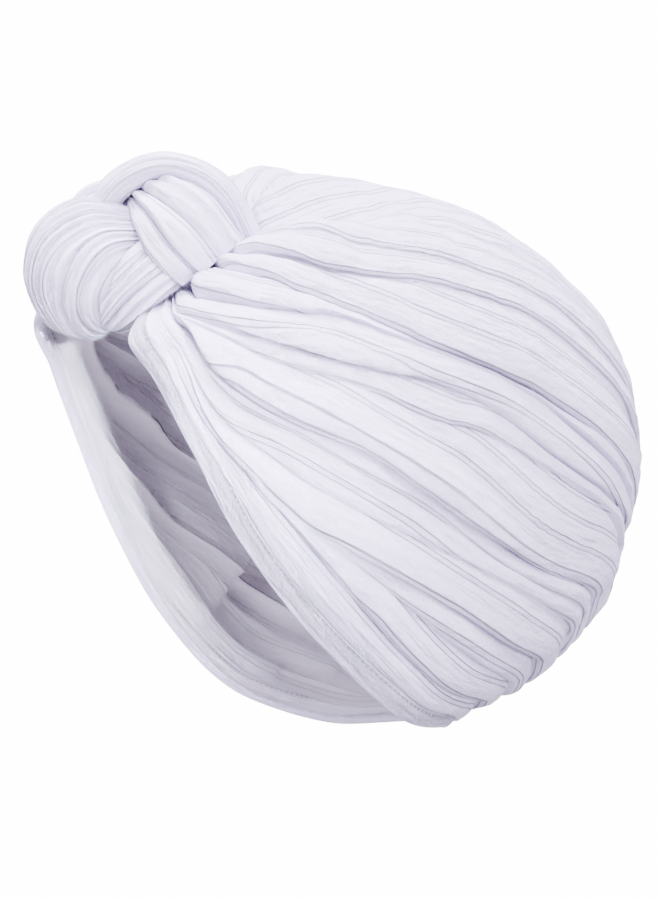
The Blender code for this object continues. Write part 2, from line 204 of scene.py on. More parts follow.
def run_through(where, stations, values):
    """A smooth curve through the values at the stations, as cubic pieces with shared slopes."""
    step = np.diff(stations)
    slope = np.diff(values) / step
    tilt = np.empty(len(values))
    tilt[1:-1] = (slope[:-1] * step[1:] + slope[1:] * step[:-1]) / (step[1:] + step[:-1])
    tilt[0], tilt[-1] = slope[0], slope[-1]
    where = np.clip(where, stations[0], stations[-1])
    row = np.clip(np.searchsorted(stations, where, side="right") - 1, 0, len(step) - 1)
    t = (where - stations[row]) / step[row]
    near = (2 * t**3 - 3 * t**2 + 1) * values[row] + (t**3 - 2 * t**2 + t) * tilt[row] * step[row]
    far = (3 * t**2 - 2 * t**3) * values[row + 1] + (t**3 - t**2) * tilt[row + 1] * step[row]
    return near + far


def column(table, columns, name):
    """The column of that name, of a table whose columns have those names."""
    return np.array([row[columns.index(name)] for row in table], float)


def plain_crown(u, v, side):
    """A half crown with no pleats: u runs knot to nape, v hem to middle line.

    Each section is part of a rounded ellipse from its hem point to its point on the middle
    line; the pushes add bell-shaped shifts that set the two halves apart.
    """
    stations = column(SECTIONS, SECTION_COLUMNS, "along")
    hem_x, hem_y, hem_z, top_y, top_z, half_width, square, bow = (
        run_through(u, stations, column(SECTIONS, SECTION_COLUMNS, name)) for name in SECTION_COLUMNS[1:])
    half_width = np.maximum(half_width, hem_x + NARROWEST)
    low = -np.arccos((hem_x / half_width) ** (1 / square))
    angle = low + (np.pi / 2 - low) * v
    x = half_width * np.maximum(np.cos(angle), 0) ** square
    foot = -np.abs(np.sin(low)) ** square
    height = (np.sign(np.sin(angle)) * np.abs(np.sin(angle)) ** square - foot) / (1 - foot)
    chord_y, chord_z = top_y - hem_y, top_z - hem_z
    chord = np.hypot(chord_y, chord_z)
    out = bow * np.sin(np.pi * height) / chord
    y = hem_y + chord_y * height + out * chord_z
    z = hem_z + chord_z * height - out * chord_y
    point = np.stack((x, y, z), -1) * MM
    for row in PUSHES[side]:
        push = dict(zip(PUSH_COLUMNS, row))
        away = (u - push["along"]) / push["along_reach"]
        aside = (v - push["across"]) / push["across_reach"]
        share = np.exp(-away**2 - aside**2) * ease((1 - v) / PUSH_FADE)
        point += share[..., None] * np.array((push["x"], push["y"], push["z"])) * MM
    return point


def crown_slopes(u, v, side):
    """The outward direction on the plain half crown, and its metres per unit of v."""
    before, after = np.maximum(u - NORMAL_STEP, 0), np.minimum(u + NORMAL_STEP, 1)
    below, above = np.maximum(v - NORMAL_STEP, 0), np.minimum(v + NORMAL_STEP, 1)
    along_u = plain_crown(after, v, side) - plain_crown(before, v, side)
    along_v = plain_crown(u, above, side) - plain_crown(u, below, side)
    normal = np.cross(along_u, along_v)
    normal /= np.linalg.norm(normal, axis=-1, keepdims=True)
    return normal, np.linalg.norm(along_v, axis=-1) / (above - below)


def soft_noise(u, v, seed):
    """Smooth noise from -1 to 1: random values on a lattice, joined by eased weights."""
    lattice = np.random.default_rng(seed).uniform(-1, 1, (LATTICE, LATTICE))
    i, j = np.floor(u).astype(int), np.floor(v).astype(int)
    s, t = ease(u - i), ease(v - j)
    corner = [lattice[(i + a) % LATTICE, (j + b) % LATTICE] for a in (0, 1) for b in (0, 1)]
    return (corner[0] * (1 - t) + corner[1] * t) * (1 - s) + (corner[2] * (1 - t) + corner[3] * t) * s


def climbed(u, share):
    """Where a share of the section lies once the folds have climbed: more, the further back."""
    climb = RISE * (1 - np.exp(-np.maximum(u - RISE_START, 0) / RISE_LENGTH))
    return share + climb * (1 - share) * ease(share / RISE_HEM)


def fold_lines(u, table):
    """Each fold's share of the section and its depth in metres, along u; the last is the seam."""
    places, depths = (
        [run_through(u, FOLD_STATIONS, row) for row in np.stack([table[name] for name in names], 1)]
        for names in (PLACE_COLUMNS, DEPTH_COLUMNS))
    places = np.stack(places + [np.ones_like(u)], 1)
    depths = np.maximum(np.stack(depths + [np.zeros_like(u)], 1), 0) * MM
    u = u[:, None]
    cell = np.arange(places.shape[1])[None] * FOLD_CELLS
    depths = depths * (1 + DEPTH_UNEVEN * soft_noise(u * DEPTH_CELLS, cell, DEPTH_SEED))
    sway = PLACE_UNEVEN * soft_noise(u * PLACE_CELLS, cell, PLACE_SEED)
    sway = sway * ease((u - SWAY_START) / SWAY_START)
    places[:, 1:-1] += sway[:, 1:-1]
    apart = FOLDS_APART * np.arange(places.shape[1])
    places = np.minimum(np.maximum.accumulate(places - apart, 1) + apart, 1)
    return places, depths


def stripe_counts(gone, starts, table):
    """How many stripes across the jersey each point lies, twice over.

    The first count takes a point on a fold as the start of the pleat above it, the second as
    the end of the pleat below it. In a narrow pleat the ribs slide under its folds.
    """
    across = np.empty((2,) + gone.shape)
    for number, (first, last) in enumerate(zip(starts[:-1], starts[1:])):
        edge = int(table["edge"][number])
        anchor = gone[:, last if edge else first, None]
        wide = ease((gone[:, last] - gone[:, first] - NARROW_PLEAT) / NARROWING)[:, None] if number else 1.0
        first_rib = RIB_CLEAR[edge] * (1 - wide) + table["first_rib"][number] * wide
        stripes = (gone[:, first:last + 1] - anchor) / STRIPE - first_rib + FIRST_STRIPE
        if number == 0:
            stripes = stripes - HEM_STRIPES
        across[0, :, first:last] = stripes[:, :-1]
        across[1, :, first + 1:last + 1] = stripes[:, 1:]
    across[0, :, -1], across[1, :, 0] = across[1, :, -1], across[0, :, 0]
    return across


def half_crown_faces(side):
    """Outer and inner faces of a half crown, and the jersey's pattern on its outer grid.

    Out of each fold a pleat rises as an exponential towards a bell-shaped roll that leans over
    the fold; the pleat below falls into it as other exponentials. Between its folds a pleat
    bellies out as a power of a half sine wave. The pattern gives each point its place across
    the jersey in stripes, and its length along it in metres.
    """
    u = np.linspace(0, 1, ROWS)
    u = u - END_CROWDING * np.sin(2 * np.pi * u)
    table = {name: column(FOLDS, FOLD_COLUMNS, name) for name in FOLD_COLUMNS}
    places, depths = fold_lines(u, table)
    counts = table["points"].astype(int)
    parts = [np.arange(count) / count for count in counts]
    parts = [part - PART_CROWDING * np.sin(2 * np.pi * part) for part in parts]
    part = np.append(np.concatenate(parts), 1.0)
    fold = np.append(np.repeat(np.arange(len(counts)), counts), len(counts) - 1)
    share = places[:, fold] * (1 - part) + places[:, fold + 1] * part
    u = np.repeat(u[:, None], share.shape[1], 1)
    v = climbed(u, share)
    normal, scale = crown_slopes(u, v, side)
    gone = np.cumsum(np.diff(v, axis=1, prepend=0) * scale, 1)
    starts = np.append(0, np.cumsum(counts))
    above = gone - gone[:, starts[fold]]
    below = gone[:, starts[fold + 1]] - gone
    under, over = depths[:, fold], depths[:, fold + 1]
    rise = np.exp(-above / ROLL)
    roll = np.exp(-(above / (ROLL_REACH * table["soft"][fold])) ** 2)
    height = under * (FOLD_LIP * roll * (1 - rise) - rise)
    height -= over * sum(portion * np.exp(-below / reach) for portion, reach in FALLS) * (1 - rise)
    on_crest = ease((share - CREST_FROM) / CREST_FROM) * ease((CREST_CALM - u) / CREST_CALM)
    belly = run_through(u, FOLD_STATIONS, np.array(BELLY)) * (1 - CREST_FLAT * on_crest)
    belly = np.minimum(belly * (above + below), BELLY_MOST)
    height += belly * (np.sin(np.pi * part**BELLY_SKEW) ** BELLY_ROUND - BELLY_SUNK)
    calm = ease((1 - v) / SEAM_CALM) * ease(v / HEM_CALM)
    uneven = sum(high * MM * soft_noise(u * cells, gone / (wide * MM), seed)
                 for cells, wide, high, seed in SWELLS)
    height = (height + uneven * calm) * ease(u / PUFF_START)
    lean = under * FOLD_LEAN * ease(above / LEAN_AT) * np.exp(-((above - LEAN_AT) / LEAN_REACH) ** 2)
    lean *= ease((u - PUFF_START) / LEAN_START) * calm
    in_hem = ease((HEM_DEPTH - gone) / MM)
    outer = plain_crown(u, np.clip(v - lean / scale, 0, 1), side)
    outer = outer + normal * (height + HEM_RAISED * in_hem)[..., None]
    inside = FOLD_INSIDE * np.minimum(height, 0) + SLACK * inner_folds(u, gone) * calm
    for start, full_at, end, middle, reach, deep in BILLOWS[side]:
        swell = ease((u - start) / (full_at - start)) * ease((end - u) / BILLOW_DROP)
        inside -= deep * MM * swell * np.exp(-((share - middle) / reach) ** 2)
    wall = WALL + (HEM_WALL - WALL) * in_hem
    inside = np.minimum(inside, height - INNER_LEAST) - wall
    inner = plain_crown(u, v, side) + normal * inside[..., None]
    for face in (outer, inner):
        face[..., 0] = np.maximum(face[..., 0], SEAM)
        face[:, -1, 0] = SEAM
        face[0, :, 0] = SEAM
        face[-1, :, 0] = SEAM
    length = np.cumsum(np.linalg.norm(np.diff(outer, axis=0, prepend=outer[:1]), axis=-1), 0)
    length = np.repeat(length[:, length.shape[1] // 2, None], length.shape[1], 1)
    return outer, inner, stripe_counts(gone, starts, table), length


def inner_folds(u, gone):
    """Slack folds that run with the hem: noise, long one way, with its crests cut off."""
    noise = soft_noise(u * SLACK_CELLS, gone / SLACK_WIDTH, SLACK_SEED)
    return (np.minimum(noise, SLACK_TOP) - SLACK_TOP) * ease(gone / SLACK_START)


def shell_quads(rows, columns):
    """Faces of a closed shell whose outer and inner grids share one rim."""
    i, j = np.meshgrid(np.arange(rows - 1), np.arange(columns - 1), indexing="ij")
    corner = (i * columns + j).ravel()
    outer = np.stack((corner, corner + 1, corner + columns + 1, corner + columns), 1)
    count = rows * columns
    rim = np.concatenate((
        np.arange(columns), np.arange(1, rows) * columns + columns - 1,
        (rows - 1) * columns + np.arange(columns - 2, -1, -1), np.arange(rows - 2, 0, -1) * columns))
    after = np.roll(rim, -1)
    edge = np.stack((after, rim, rim + count, after + count), 1)
    return outer, outer[:, ::-1] + count, edge


def mesh_piece(name, points, faces, pattern, material):
    """A piece of one material; its UV map holds the pattern for each corner of each face."""
    mesh = bpy.data.meshes.new(name)
    mesh.vertices.add(len(points))
    mesh.vertices.foreach_set("co", points.astype(np.float32).ravel())
    mesh.loops.add(faces.size)
    mesh.loops.foreach_set("vertex_index", faces.ravel().astype(np.int32))
    mesh.polygons.add(len(faces))
    mesh.polygons.foreach_set("loop_start", np.arange(len(faces), dtype=np.int32) * faces.shape[1])
    mesh.update(calc_edges=True)
    uv = mesh.uv_layers.new(name="Stripes")
    uv.data.foreach_set("uv", pattern.astype(np.float32).ravel())
    mesh.polygons.foreach_set("use_smooth", np.ones(len(faces), bool))
    mesh.materials.append(material)
    piece = bpy.data.objects.new(name, mesh)
    bpy.context.scene.collection.objects.link(piece)
    return piece


class Shade:
    """A socket of a material; arithmetic on it adds Math nodes."""

    def __init__(self, tree, socket):
        self.tree, self.socket = tree, socket

    def node(self, kind, settings, inputs, output=0):
        """Add a node: its settings come first, then the links or values of its sockets."""
        new = self.tree.nodes.new(kind)
        for name, value in settings.items():
            setattr(new, name, value)
        for name, value in inputs.items():
            if isinstance(value, Shade):
                self.tree.links.new(value.socket, new.inputs[name])
            else:
                new.inputs[name].default_value = value
        return Shade(self.tree, new.outputs[output])

    def math(self, operation, *values):
        """Add a Math node that works on these sockets and numbers."""
        return self.node("ShaderNodeMath", {"operation": operation}, dict(enumerate(values)))

    def absolute(self):
        return self.math("ABSOLUTE", self)

    def fraction(self):
        return self.math("FRACT", self)

    def sine(self):
        return self.math("SINE", self)

    def __add__(self, other):
        return self.math("ADD", self, other)

    def __sub__(self, other):
        return self.math("SUBTRACT", self, other)

    def __rsub__(self, other):
        return self.math("SUBTRACT", other, self)

    def __mul__(self, other):
        return self.math("MULTIPLY", self, other)

    __radd__ = __add__
    __rmul__ = __mul__

    def band(self, low, high):
        """Rise smoothly from 0 at low to 1 at high."""
        return self.node("ShaderNodeMapRange", {"interpolation_type": "SMOOTHSTEP"},
                         {"Value": self, "From Min": low, "From Max": high})

    def mix(self, first, second):
        """Mix two colours, with this socket as the second one's share."""
        return self.node("ShaderNodeMix", {"data_type": "RGBA"}, {0: self, 6: first, 7: second}, 2)


# The pattern's widths are in stripes of the jersey, and its lengths along the cloth in metres.
HEM_EDGE = FIRST_STRIPE - HEM_STRIPES - FOLDS[0][-1]
# On the lining the hem's paler strip is painted light, the lit inside of the far hem; it fades out over
# these stripes.
LIT_STRIP_FADE = (HEM_EDGE + 1.15, HEM_EDGE + 2.75)    # wider than the hem ever is
STITCH_INSET = 8 * MM      # from the hem's edge
STITCH_STRIPE = HEM_EDGE + STITCH_INSET / STRIPE
STITCH_SOFT = (0.02, 0.05)
STITCH_LENGTH = 0.0028
STITCH_THREAD = (-0.5, 0.1)    # where a wave along the stitches turns into thread
STITCH_LEAST = 0.35        # how much of the stitches' line shows between them
STITCH_DARK = 0.75
RIB_HALF = 0.10
RIB_SOFT = 0.02
RIB_SWAY = 0.10            # how far the ribs wander
RIB_SHEER = 0.6
RUNG_SHEER = 0.1           # how much more so its rungs are
RUNG_LENGTH = 0.0016
LINE_HALF = 0.022
LINE_SOFT = 0.011
DOT_LENGTH = 0.0011        # a line is finely dotted, and the clouds shift its dots
DOT_SHARE = 0.15
DOT_SHIFT = 30
PATCHES = (0.35, 0.65)     # from one value of the clouds to the other the lines grow stronger
PATCH_LEAST = 0.65
TAUT = (-0.055, 0.005)     # from one height to the other the cloth grows taut, its lines fainter
TAUT_FAINT = 0.65
STREAKS = (0.4, 0.7)       # where streaks, and grain, turn to the colour of the ribs
GRAINS = (0.4, 0.75)
STREAK_SHARE = 0.4
STREAK_GRID = (4.0, 55.0)  # cells of streak to a stripe, and to a metre along
PUCKER_GRID = (2.0, 520.0)
PUCKER_SLANT = 5.0

# The scale and the detail of each noise; streaks and puckers are scaled by their grids.
SWAYS = (30.0, 2.0)
CLOUDS = (18.0, 2.0)
GRAIN = (900.0, 2.0)
CRINKLE = (160.0, 4.0)
STREAK = (1.0, 3.0)
PUCKER = (1.0, 2.0)

# How high each part of the pattern stands, for the bump.
RELIEF = {"line": -0.5, "rib": -0.2, "rung": 0.03, "stitch": -0.8, "grain": 0.3, "crinkle": 0.9,
          "streak": 1.6}
ROUGHNESS = 0.8
GRAIN_ROUGHNESS = 0.12
SHEEN = 0.25
SHEEN_ROUGHNESS = 0.5
SPECULAR = 0.25


def ribbed_jersey(name, smooth, rib, line, line_share=1.0, relief=1.2 * MM, hem_and_lit_strip=None,
                  hem_fade=LIT_STRIP_FADE, hem_rim=0.01, pucker=0.0):
    """Smooth stripes parted by sheer ribs; each rib lies between two fine darker lines.

    Smooth, rib and line are their colours. The colour hem_and_lit_strip lies along the hem: the
    hem's own colour on the outside, and painted light, the lit inside of the far hem, on the lining.
    It is in full from hem_rim stripes inside the hem's edge, with no lines, until it fades out over
    the stripes of hem_fade; pucker draws it up in short creases. Relief is how deep the bump is.
    """
    material = bpy.data.materials.new(name)
    material.use_nodes = True
    tree = material.node_tree
    shader = tree.nodes["Principled BSDF"]
    start = Shade(tree, None)

    def noise(vector, scale, detail):
        return start.node("ShaderNodeTexNoise", {}, {"Vector": vector, "Scale": scale, "Detail": detail})

    def wave(length, shift=0.0):
        return (along * (2 * np.pi / length) + shift).sine()

    uv = start.node("ShaderNodeUVMap", {"uv_map": "Stripes"}, {})
    place = start.node("ShaderNodeTexCoord", {}, {}, 3)
    across = start.node("ShaderNodeSeparateXYZ", {}, {0: uv}, 0)
    along = start.node("ShaderNodeSeparateXYZ", {}, {0: uv}, 1)
    taut = start.node("ShaderNodeSeparateXYZ", {}, {0: place}, 2).band(*TAUT)
    cloud = noise(place, *CLOUDS)
    grain = noise(place, *GRAIN)
    crinkle = noise(place, *CRINKLE)
    grid = start.node("ShaderNodeCombineXYZ", {}, {0: across * STREAK_GRID[0], 1: along * STREAK_GRID[1]})
    streak = noise(grid, *STREAK)
    off_stitch = (across - STITCH_STRIPE).absolute()
    thread = wave(STITCH_LENGTH).band(*STITCH_THREAD)
    on_stitch = (1 - off_stitch.band(*STITCH_SOFT)) * (STITCH_LEAST + (1 - STITCH_LEAST) * thread)
    swayed = across + (noise(place, *SWAYS) - 0.5) * RIB_SWAY
    off_rib = ((swayed + 0.5).fraction() - 0.5).absolute()
    in_rib = 1 - off_rib.band(RIB_HALF - RIB_SOFT, RIB_HALF + RIB_SOFT)
    off_line = (off_rib - RIB_HALF).absolute()
    on_line = 1 - off_line.band(LINE_HALF - LINE_SOFT, LINE_HALF + LINE_SOFT)
    rung = wave(RUNG_LENGTH)
    dots = wave(DOT_LENGTH, cloud * DOT_SHIFT) * DOT_SHARE + (1 - DOT_SHARE)
    patchy = cloud.band(*PATCHES) * (1 - PATCH_LEAST) + PATCH_LEAST
    faint = (streak.band(*STREAKS) + grain.band(*GRAINS)) * STREAK_SHARE
    colour = (in_rib * (RIB_SHEER + RUNG_SHEER * rung) + faint).mix(smooth, rib)
    # The hem's strip, which on the lining is painted light, the lit inside of the far hem.
    in_hem = (1 - across.band(*hem_fade)) * across.band(HEM_EDGE, HEM_EDGE + hem_rim)
    if hem_and_lit_strip:
        colour = in_hem.mix(colour, hem_and_lit_strip)
    dark = on_line * line_share * patchy * dots * (1 - TAUT_FAINT * taut) * (1 - in_hem)
    colour = dark.mix(colour, line)
    colour = (on_stitch * STITCH_DARK).mix(colour, line)
    depth = (on_line * RELIEF["line"] + in_rib * (RELIEF["rib"] + RELIEF["rung"] * rung)
             + on_stitch * RELIEF["stitch"] + grain * RELIEF["grain"] + crinkle * RELIEF["crinkle"]
             + streak * RELIEF["streak"])
    if pucker:
        slanted = along * PUCKER_GRID[1] + across * PUCKER_SLANT
        grid = start.node("ShaderNodeCombineXYZ", {}, {0: across * PUCKER_GRID[0], 1: slanted})
        depth = depth + in_hem * noise(grid, *PUCKER) * pucker
    bump = start.node("ShaderNodeBump", {}, {"Strength": 1.0, "Distance": relief, "Height": depth})
    tree.links.new(colour.socket, shader.inputs["Base Color"])
    tree.links.new(bump.socket, shader.inputs["Normal"])
    tree.links.new((ROUGHNESS + GRAIN_ROUGHNESS * grain).socket, shader.inputs["Roughness"])
    shader.inputs["Sheen Weight"].default_value = SHEEN
    shader.inputs["Sheen Roughness"].default_value = SHEEN_ROUGHNESS
    shader.inputs["Specular IOR Level"].default_value = SPECULAR
    return material


# The outside of the hem is greyer as far as its stitches, and puckered. The inside of the crown
# is the same jersey in a duller, paler tint, which is painted shade: the colour of the shade inside.
# Its lines hardly show, and its paler strip along the hem is painted light, the lit inside of the
# far hem.
crown_jersey = ribbed_jersey(
    "crown_jersey", (0.77, 0.735, 0.865, 1), (0.67, 0.635, 0.755, 1), (0.21, 0.19, 0.26, 1),
    hem_and_lit_strip=(0.44, 0.425, 0.48, 1), hem_fade=(STITCH_STRIPE + 0.1, STITCH_STRIPE + 0.7), hem_rim=0.5,
    pucker=1.0)
# The lining's duller, paler tint is painted shade, set to the colour of the shade inside the crown.
crown_lining = ribbed_jersey(
    "crown_lining", (0.85, 0.81, 0.86, 1), (0.81, 0.77, 0.82, 1), (0.45, 0.41, 0.45, 1),
    line_share=0.25, relief=0.6 * MM, hem_and_lit_strip=(0.96, 0.93, 0.98, 1))

for side in ("left", "right"):
    outer, inner, across, length = half_crown_faces(side)
    points = np.concatenate((outer.reshape(-1, 3), inner.reshape(-1, 3)))
    skin, lining, edge = shell_quads(*length.shape)
    first, last = (np.stack((stripes.ravel(), length.ravel()), 1) for stripes in across)
    on_skin = np.stack((first[skin[:, 0]], last[skin[:, 1]], last[skin[:, 2]], first[skin[:, 3]]), 1)
    on_edge = np.tile(first, (2, 1))[edge]
    faces = np.concatenate((skin, lining, edge))
    pattern = np.concatenate((on_skin, on_skin[:, ::-1], on_edge))
    if side == "right":
        points = points * (-1, 1, 1)
    else:
        faces, pattern = faces[:, ::-1], pattern[:, ::-1]
    crown = mesh_piece("pleated_half_" + side, points, faces, pattern, crown_jersey)
    crown.data.materials.append(crown_lining)
    material_index = np.repeat((0, 1, 0), (len(skin), len(lining), len(edge)))
    crown.data.polygons.foreach_set("material_index", material_index.astype(np.int32))
    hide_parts("crown_" + side)
    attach(crown, "root")

# THE WOUND KNOT
# The two gathered ends of the jersey wind round each other over the forehead: an arch from
# behind, a wide fan that it turns into, a tucked roll under it and an over-band across them.
# What is left of the cloth's neck is tucked in behind the arch.
KNOT_CENTRE = np.array((6, -98, -27)) * MM
KNOT_TURN = np.radians(60)
BAND_ROWS = 110
BAND_SIDES = 220
BAND_SQUARE = 0.85         # under 1 squares a band's section off
BAND_BACK = 1.2            # how fast a band's bulges die out towards its back
BAND_CALM = 6.0 * MM       # and towards its ends
BAND_GAP = 0.3 * MM
NARROW_BAND = 9 * MM       # a band whose half width is less bulges less
OUTER_VALLEYS = 1.35       # how far out the last bulges would end, past the edges at 1
LOBE_SKEW = 0.85           # under 1 makes a bulge fuller towards a band's inner edge
LOBE_ROUND = 0.5           # under 1 makes it a broader roll
LOBE_SUNK = 0.75           # how far the valleys lie under the plain band, by their depth
CREASE_ANGLE = np.radians(60)    # sharper folds than this are shaded as edges

# Layers of noise on a band: a cell's length in metres, the cells to half the band's width, the
# first cell and the seed. The first moves the valleys, and the others are swells and creases.
WANDER = (0.022, 2.5, 3, 11)
WANDER_SHARE = 0.07
BAND_SWELL = (0.020, 4, 5, 12)
BAND_SWELL_HEIGHT = 0.5 * MM
BAND_CREASE = (0.012, 14, 9, 13)
BAND_CREASE_HEIGHT = 0.25 * MM

# The bands rest on the front of the crown with no pleats, which is made as far back as this and
# closed to a point inside the head.
SEAT_END = 0.45
SEAT_ROWS = 70
SEAT_COLUMNS = 90
SEAT_RISE = 1.6 * MM
SEAT_HEART = (0, -0.020, -0.060)

# Each band's cross-sections: its inner and its outer edge, to the right of the knot's centre, up
# from it and toward someone who looks straight at it, and half its thickness. Then its valleys,
# each a place from the inner edge, -1, to the outer edge, 1, with its depth, and its stripes.
BAND_COLUMNS = ("inner_right", "inner_up", "inner_toward",
                "outer_right", "outer_up", "outer_toward", "half_thick")
BANDS = {
    "knot_arch": {
        "sections": (
            (44, -8, -20, 53, -5, -20, 7),
            (43, 2, -14, 53, 5, -14, 8),
            (38, 12, -8, 48, 17, -8, 9),
            (30, 20, -2, 39, 29, -2, 10),
            (21, 25, 1, 26, 36, 1, 11),
            (11, 26, 3, 12, 38, 3, 11),
            (3, 22, 4, -3, 32, 4, 11),
            (-3, 17, 1, -12, 24, 1, 11),
            (-5, 11, -6, -15, 14, -6, 9)),
        "valleys": ((-0.50, 1.3), (0.30, 0.9), (0.70, 1.3)), "stripes": 2},
    "knot_over_band": {
        "sections": (
            (0, 17, -12, 6, 25, -12, 5),
            (2, 13, 3, 12, 26, 0, 6),
            (5, 4, 13, 22, 25, 9, 8),
            (9, -5, 17, 33, 19, 12, 9),
            (17, -13, 15, 42, 8, 9, 9),
            (26, -18, 6, 50, -2, 0, 9),
            (33, -23, -8, 54, -9, -12, 8)),
        "valleys": ((-0.46, 4.6), (0.06, 4.4), (0.66, 3.2), (0.90, 1.5)), "stripes": 4},
    "knot_fan": {
        "sections": (
            (9, -2, -6, 4, 7, -6, 5),
            (4, -4, 6, -4, 14, 4, 8),
            (-1, -9, 11, -20, 18, 2, 12),
            (-5, -16, 12, -36, 8, -3, 16),
            (-8, -22, 9, -40, -8, -8, 16),
            (-10, -26, 3, -34, -22, -12, 13),
            (-9, -29, -6, -23, -28, -18, 9),
            (-6, -28, -14, -14, -28, -21, 6)),
        "valleys": ((-0.84, 2.6), (-0.62, 4.6), (-0.48, 1.4), (-0.26, 5.4), (-0.12, 1.6), (0.12, 5.2),
                    (0.28, 1.4), (0.50, 5.0), (0.64, 1.6), (0.85, 3.2)), "stripes": 6},
    "knot_roll": {
        "sections": (
            (-14, -24, -4, -5, -33, -8, 6),
            (-12, -17, 3, 3, -33, 0, 9),
            (-6, -9, 8, 11, -30, 6, 10),
            (3, -1, 11, 19, -22, 8, 10),
            (12, 5, 7, 24, -14, 4, 9),
            (18, 9, -3, 28, -6, -6, 7)),
        "valleys": ((-0.48, 4.0), (-0.22, 1.4), (0.10, 3.8), (0.50, 3.4), (0.70, 1.2)), "stripes": 3},
    "tucked_neck": {
        "sections": (
            (-16, 6, -6, -26, 17, -8, 5),
            (-9, 8, -5, -18, 24, -7, 6),
            (0, 8, -8, -5, 28, -9, 6),
            (9, 8, -12, 7, 27, -14, 5)),
        "valleys": ((-0.60, 2.2), (-0.25, 1.8), (0.15, 2.4), (0.55, 1.8)), "stripes": 3},
}


def knot_axes():
    """Right, up and toward for someone who looks straight at the knot's face."""
    right = np.array((np.cos(KNOT_TURN), np.sin(KNOT_TURN), 0))
    up = np.array((0, 0, 1))
    return np.stack((right, up, np.cross(right, up)))


def band_noise(where, place, cell, cells, first, seed):
    """Noise on a band, by the length along it and the place across it."""
    return soft_noise(where[:, None] / cell, first + place * cells, seed)


def lobes(place, valleys):
    """How high a band bulges: between two valleys, as a power of a half sine wave."""
    marks, depths = np.array(valleys).T
    marks = np.concatenate(((-OUTER_VALLEYS,), marks, (OUTER_VALLEYS,)))
    depths = np.concatenate((depths[:1], depths, depths[-1:]))
    lobe = np.clip(np.searchsorted(marks, place, side="right") - 1, 0, len(marks) - 2)
    part = np.clip((place - marks[lobe]) / (marks[lobe + 1] - marks[lobe]), 0, 1)
    depth = depths[lobe] * (1 - part) + depths[lobe + 1] * part
    return depth * (np.sin(np.pi * part**LOBE_SKEW) ** LOBE_ROUND - LOBE_SUNK) * MM


def squared_off(wave):
    """A sine or cosine wave to a power, with its sign kept."""
    return np.sign(wave) * np.abs(wave) ** BAND_SQUARE


def band_points(sections, valleys, stripes, grow=0.0):
    """A padded band lofted through its sections; each one is a squared-off ellipse.

    The bulges between the valleys die out at both ends and on the side that lies against the
    crown. Grow makes the band thicker all round.
    """
    table = {name: column(sections, BAND_COLUMNS, name) * MM for name in BAND_COLUMNS}
    inner, outer = (np.stack([table[edge + axis] for axis in ("_right", "_up", "_toward")], 1)
                    for edge in ("inner", "outer"))
    middle = (inner + outer) / 2
    reach = np.append(0, np.cumsum(np.linalg.norm(np.diff(middle, axis=0), axis=1)))
    where = np.linspace(0, reach[-1], BAND_ROWS)
    inner, outer = (np.stack([run_through(where, reach, edge[:, axis]) for axis in range(3)], 1)
                    for edge in (inner, outer))
    half_thick = run_through(where, reach, table["half_thick"])
    centre = (inner + outer) / 2
    tangent = np.gradient(centre, axis=0)
    tangent /= np.linalg.norm(tangent, axis=1, keepdims=True)
    across = (outer - inner) / 2
    half_width = np.linalg.norm(across, axis=1)
    across /= half_width[:, None]
    out = np.cross(across, tangent)
    out /= np.linalg.norm(out, axis=1, keepdims=True)
    turn = np.arange(BAND_SIDES) * 2 * np.pi / BAND_SIDES
    place = np.repeat(np.cos(turn)[None], BAND_ROWS, 0)
    place = place + WANDER_SHARE * band_noise(where, place, *WANDER)
    height = lobes(place, valleys) * np.minimum(half_width / NARROW_BAND, 1)[:, None]
    height = height + BAND_SWELL_HEIGHT * band_noise(where, place, *BAND_SWELL)
    height = height + BAND_CREASE_HEIGHT * band_noise(where, place, *BAND_CREASE)
    shown = np.sin(turn) * np.sign(out[:, 2].mean())    # 1 on the side away from the crown
    height = height * ease(0.5 + BAND_BACK * shown)
    height = height * (ease(where / BAND_CALM) * ease((where[-1] - where) / BAND_CALM))[:, None]
    wide = (half_width[:, None] + height + grow) * squared_off(np.cos(turn))
    thick = (half_thick[:, None] + height + grow) * squared_off(np.sin(turn))
    points = centre[:, None] + across[:, None] * wide[..., None] + out[:, None] * thick[..., None]
    pattern = np.stack((place * stripes / 2, np.repeat(where[:, None], BAND_SIDES, 1)), -1)
    points = np.concatenate((points.reshape(-1, 3), centre[[0, -1]])) @ knot_axes() + KNOT_CENTRE
    pattern = np.concatenate((pattern.reshape(-1, 2), ((0, 0), (0, where[-1]))))
    return points, pattern


def band_faces():
    """Triangles round a band, with a fan of them over each end."""
    i, j = np.meshgrid(np.arange(BAND_ROWS - 1), np.arange(BAND_SIDES), indexing="ij")
    after = (j + 1) % BAND_SIDES
    low, high = i * BAND_SIDES, (i + 1) * BAND_SIDES
    first = np.stack((low + j, high + after, low + after), -1).reshape(-1, 3)
    second = np.stack((low + j, high + j, high + after), -1).reshape(-1, 3)
    ring = np.arange(BAND_SIDES)
    ahead = (ring + 1) % BAND_SIDES
    tail = (BAND_ROWS - 1) * BAND_SIDES
    start = np.stack((np.full(BAND_SIDES, BAND_ROWS * BAND_SIDES), ring, ahead), 1)
    end = np.stack((np.full(BAND_SIDES, BAND_ROWS * BAND_SIDES + 1), tail + ahead, tail + ring), 1)
    return np.concatenate((first, second, start, end))


